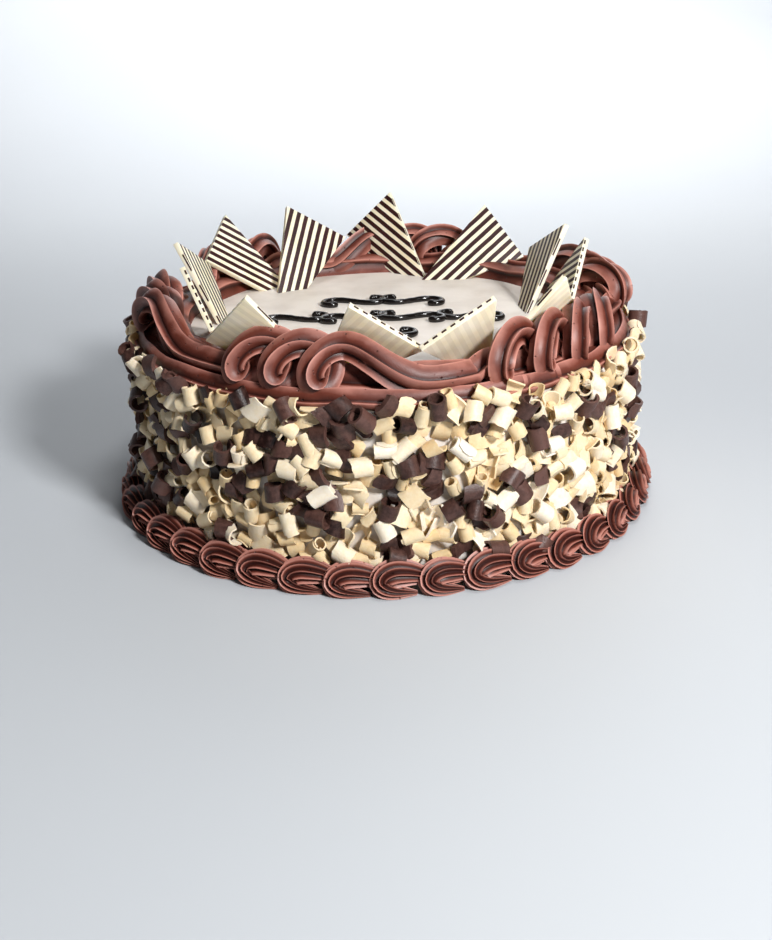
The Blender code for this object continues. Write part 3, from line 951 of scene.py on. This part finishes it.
def stripedChocolate(sizes):
    # dark chocolate stripes let into ivory white chocolate; they show on the inner face
    # and end as dashes on the edges, and shine through the back as faint ghosts
    material, tree = newMaterial(
        "stripedWhiteChocolate", Specular_IOR_Level=0.3, Roughness=0.5, IOR=1.46, Subsurface_Weight=0.45,
        Subsurface_Scale=4 * mm, Subsurface_Radius=(1.0, 0.8, 0.5))
    own = ownValue(tree, "stripePlace", "Vector")
    parts = addNode(tree, "ShaderNodeSeparateXYZ", links={"Vector": own})
    across, deep = parts.outputs["X"], parts.outputs["Z"]
    waver = addNoise(tree, own, 1 / 0.18, 2.0)
    moved = addMath(tree, "MULTIPLY_ADD", waver, sizes["stripeWaver"], across)
    halfStripe = sizes["stripe"] / 2
    darkFrom = (1 - sizes["darkPart"]) * halfStripe
    dark = addRange(tree, addMath(tree, "PINGPONG", moved, halfStripe),
                    darkFrom - sizes["stripeBlur"], darkFrom + sizes["stripeBlur"])
    face = sizes["thickness"] / 2 - sizes["faceDepth"]
    core = addMath(tree, "COMPARE", deep, sizes["dashMiddle"], sizes["dashHalf"])
    shown = addMath(tree, "MAXIMUM", addMath(tree, "GREATER_THAN", deep, face), core)
    behind = addMath(tree, "LESS_THAN", deep, -face)
    withGhost = addMath(tree, "MULTIPLY_ADD", behind, sizes["ghost"], shown)
    cloudy = addNoise(tree, own, 1 / 0.12, 4.0)
    ivory = addRamp(tree, cloudy, (0.3, "#ecdfc0"), (0.7, "#f5ebd6"))
    brown = addRamp(tree, cloudy, (0.3, "#2b0e0f"), (0.7, "#3b1718"))
    colour = addNode(tree, "ShaderNodeMix", links={
        "Factor": addMath(tree, "MULTIPLY", dark, withGhost), 6: ivory, 7: brown}, data_type="RGBA")
    fine = addNoise(tree, own, 1 / 0.7, 4.0)
    finishMaterial(tree, colour.outputs[2], addBump(tree, fine, 0.05 * mm, 0.4))
    return material


def plaquePlace(facing, tipTurn, tipRadius, tipHeight, lean, tilt):
    # the tip is the origin and +Z looks out of the striped face
    out, side, top = outward(facing), along(facing), Vector((0, 0, 1))
    lean, tilt = math.radians(lean), math.radians(tilt)
    upward = math.cos(lean) * top + math.sin(lean) * out
    axis = math.cos(tilt) * upward + math.sin(tilt) * side
    base = -math.sin(tilt) * upward + math.cos(tilt) * side
    normal = -math.cos(lean) * out + math.sin(lean) * top
    tip = (outward(tipTurn) * tipRadius + top * tipHeight) * mm
    return Matrix.Translation(tip) @ Matrix((-base, axis, normal)).transposed().to_4x4()


def makePlaque(index, row, sizes, material):
    half, length, wall = sizes["base"] / 2, sizes["length"], sizes["thickness"] / 2
    mesh = bmesh.new()
    outline = ((0, 0), (half, length), (-half, length))
    corners = [mesh.verts.new((x, y, z)) for z in (-wall, wall) for x, y in outline]
    for face in ((0, 2, 1), (3, 4, 5), (0, 1, 4, 3), (1, 2, 5, 4), (2, 0, 3, 5)):
        mesh.faces.new([corners[corner] for corner in face])
    bmesh.ops.bevel(
        mesh, geom=mesh.edges[:], offset=sizes["bevel"], segments=2, affect="EDGES", profile=0.5)
    data = bpy.data.meshes.new("stripedTriangle%02d" % (index + 1))
    mesh.to_mesh(data)
    mesh.free()
    # "stripePlace": across the stripes, up the triangle and through it, apart for each triangle
    angle = math.radians(row[6])
    places = [(v.co.x * math.cos(angle) + v.co.y * math.sin(angle), v.co.y + 200 * index, v.co.z)
              for v in data.vertices]
    attribute = data.attributes.new("stripePlace", "FLOAT_VECTOR", "POINT")
    attribute.data.foreach_set("vector", np.array(places, np.float32).ravel())
    data.transform(plaquePlace(*row[:6]) @ Matrix.Scale(mm, 4))
    data.shade_smooth()
    data.set_sharp_from_angle(angle=math.radians(35))
    item = newObject(data.name, data, material)
    finishPiece(item, "plaque_%02d" % (index + 1))


striped = stripedChocolate(plaqueSizes)
for index, row in enumerate(plaqueRows):
    makePlaque(index, row, plaqueSizes, striped)


# piped scrolls on the top

scrollSizes = {
    "radius": 1.3 * mm,
    "sink": 0.4 * mm,
    "winding": 10.0,
    "slant": 0.5,
    "halfLength": 26 * mm,
    "steps": 60,
    "around": 12,
    "blob": 0.12,            # how unevenly the line is squeezed out
    "blobWidth": 3 * mm,
    "endFat": 0.25,          # how much fatter the line is near its ends
    "endSteps": 4,           # steps over which an end is rounded off
    "fatAt": 1.2,            # where the line is fattest, as a multiple of those steps
    "tip": 0.05,             # how blunt the very end is
}
scrollLines = ((26, 2, 26), (0, 4, 25), (-26, 1, 26))   # how far back, how many, how far apart, in mm


def pipingGel():
    # dark piping gel: nearly black, wet gloss
    material, tree = newMaterial("blackPipingGel", Roughness=0.16, IOR=1.48)
    slow = addNoise(tree, objectPlace(tree), 6 * mm, 2.0)
    colour = addRamp(tree, slow, (0.3, "#0b0908"), (0.7, "#17110f"))
    finishMaterial(tree, colour, addBump(tree, slow, 0.2 * mm, 0.3))
    return material


def scrollPoints(sizes, middleX, middleY, turn):
    step = sizes["halfLength"] / sizes["steps"]
    half = [(0.0, 0.0)]
    for index in range(sizes["steps"]):
        travelled = (index + 0.5) / sizes["steps"]
        heading = 0.5 * sizes["winding"] * travelled ** 2 - sizes["slant"]
        x, y = half[-1]
        half.append((x + step * math.cos(heading), y + step * math.sin(heading)))
    points = [(-x, -y) for x, y in reversed(half[1:])] + half
    return [(middleX + x, middleY + turn * y) for x, y in points]


def makeScrolls(sizes, lines, material):
    ring = [(math.cos(a), math.sin(a)) for a in np.linspace(0, math.tau, sizes["around"], endpoint=False)]
    height = bodySizes["height"] + sizes["radius"] - sizes["sink"]
    verts, faces = [], []
    for back, count, spacing in lines:
        for index in range(count):
            middleX = spacing * (index - 0.5 * (count - 1)) * mm
            flat = scrollPoints(sizes, middleX, back * mm, 1 if index < count / 2 else -1)
            points, scales = [], []
            for step, (x, y) in enumerate(flat):
                end = min(step, len(flat) - 1 - step) / sizes["endSteps"]
                blob = 1 + sizes["blob"] * noise.noise(Vector((x, y, 0)) / sizes["blobWidth"])
                fat = 1 + sizes["endFat"] * math.exp(-(end / sizes["fatAt"] - 1) ** 2)
                scales.append(sizes["radius"] * blob * fat * math.sqrt(min(1.0, sizes["tip"] + end)))
                points.append(Vector((x, y, height)))
            addTube(verts, faces, sweepTube(points, [Vector((0, 0, 1))] * len(points), scales, ring))
    item = newObject("pipedScrolls", meshFrom("pipedScrolls", verts, faces), material)
    finishPiece(item)


makeScrolls(scrollSizes, scrollLines, pipingGel())


# studio: pale floor, soft light from the upper right

studioLooks = {
    "floor": ("#bcc0c5", "#c1c5c9"),
    # the floor's shape, in metres
    "front": -2.5,
    "bendFrom": 0.6,
    "bendRadius": 1.0,
    "bendAngles": (0.06, 0.5 * math.pi, 24),   # first and last angle, and how many steps
    "wallTop": 2.5,
    "halfWidth": 4.0,
    "sky": "#e8edf2",
    "skyStrength": 0.07,
    # name, place, what it looks at, width, power in watts, spread in degrees
    "lamps": (
        ("key", (0.50, -0.74, 0.62), (0, 0, 0.05), 0.16, 13.5, 180),
        ("top", (0.16, -0.10, 1.00), (0, 0, 0.05), 0.30, 2.6, 180),
        ("back", (0.30, 0.85, 0.60), (0, 0, 0.05), 0.8, 2.5, 180),
        ("wash", (0.0, 0.55, 1.35), (0.0, 1.5, 0.35), 1.2, 16.0, 100),
    ),
}


def makeFloor(looks):
    # painted board: it runs back level, then bends up into a pale wall
    material, tree = newMaterial("paleFloor", Roughness=0.6)
    slow = addNoise(tree, objectPlace(tree), 0.5, 2.0)
    finishMaterial(tree, addRamp(tree, slow, (0.3, looks["floor"][0]), (0.7, looks["floor"][1])))
    bend, radius, side = looks["bendFrom"], looks["bendRadius"], looks["halfWidth"]
    profile = [(looks["front"], 0.0), (bend, 0.0)]
    profile += [(bend + radius * math.sin(a), radius - radius * math.cos(a))
                for a in np.linspace(*looks["bendAngles"])]
    profile.append((bend + radius, looks["wallTop"]))
    verts = [(x, y, z) for y, z in profile for x in (-side, side)]
    faces = [(2 * i, 2 * i + 1, 2 * i + 3, 2 * i + 2) for i in range(len(profile) - 1)]
    floor = newObject("floor", meshFrom("floor", verts, faces), material)


def makeStudio(looks):
    makeFloor(looks)
    world = bpy.data.worlds.new("studio")
    world.use_nodes = True
    world.node_tree.nodes["Background"].inputs["Color"].default_value = hexColour(looks["sky"])
    world.node_tree.nodes["Background"].inputs["Strength"].default_value = looks["skyStrength"]
    scene.world = world
    for name, place, target, width, power, spread in looks["lamps"]:
        lamp = bpy.data.lights.new(name, "AREA")
        lamp.size = width
        lamp.energy = power
        lamp.spread = math.radians(spread)
        item = newObject(name, lamp)
        item.location = place
        item.rotation_euler = (Vector(target) - Vector(place)).to_track_quat("-Z", "Y").to_euler()
    scene.view_settings.view_transform = "Standard"


makeStudio(studioLooks)
print("studio set")
